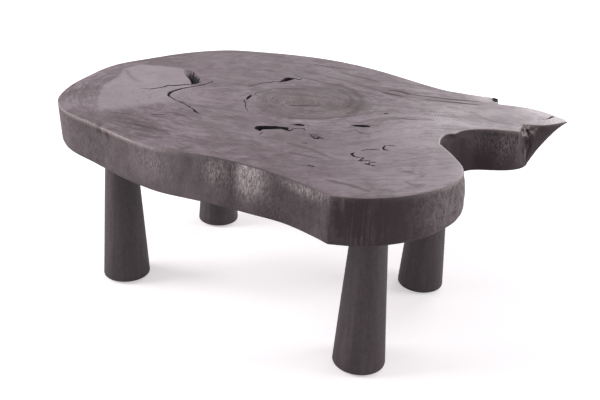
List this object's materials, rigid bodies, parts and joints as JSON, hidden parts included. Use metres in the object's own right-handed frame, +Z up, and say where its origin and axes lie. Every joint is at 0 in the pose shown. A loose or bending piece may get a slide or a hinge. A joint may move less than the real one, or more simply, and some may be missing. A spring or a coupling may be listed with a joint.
{
  "type": "coffee table",
  "caption": "Low table with a thick live edge crosscut slab, notched and pointed on one side, on turned tapered legs that screw to its underside.",
  "frame": {"origin": "on the floor under the middle of the slab's outline", "axes": "+X along the slab's length towards the pointed tip, +Y towards the back edge, +Z up"},
  "size_m": [0.994, 0.759, 0.42],
  "materials": {
    "slab_wood": "charred or ebonised, sanded and waxed to a satin sheen",
    "leg_wood": "charred or ebonised, satin, grain along the leg",
    "bolt_steel": "zinc plated",
    "insert_brass": "plain machined",
    "pad_felt": "pressed felt"
  },
  "bodies": {
    "root": {"slab_top": "slab_wood", "leg_front_left": "leg_wood", "leg_front_right": "leg_wood", "leg_rear_left": "leg_wood", "leg_rear_right": "leg_wood", "bolt_front_left": "bolt_steel", "bolt_front_right": "bolt_steel", "bolt_rear_left": "bolt_steel", "bolt_rear_right": "bolt_steel", "insert_front_left": "insert_brass", "insert_front_right": "insert_brass", "insert_rear_left": "insert_brass", "insert_rear_right": "insert_brass", "pad_front_left": "pad_felt", "pad_front_right": "pad_felt", "pad_rear_left": "pad_felt", "pad_rear_right": "pad_felt"}
  },
  "joints": []
}
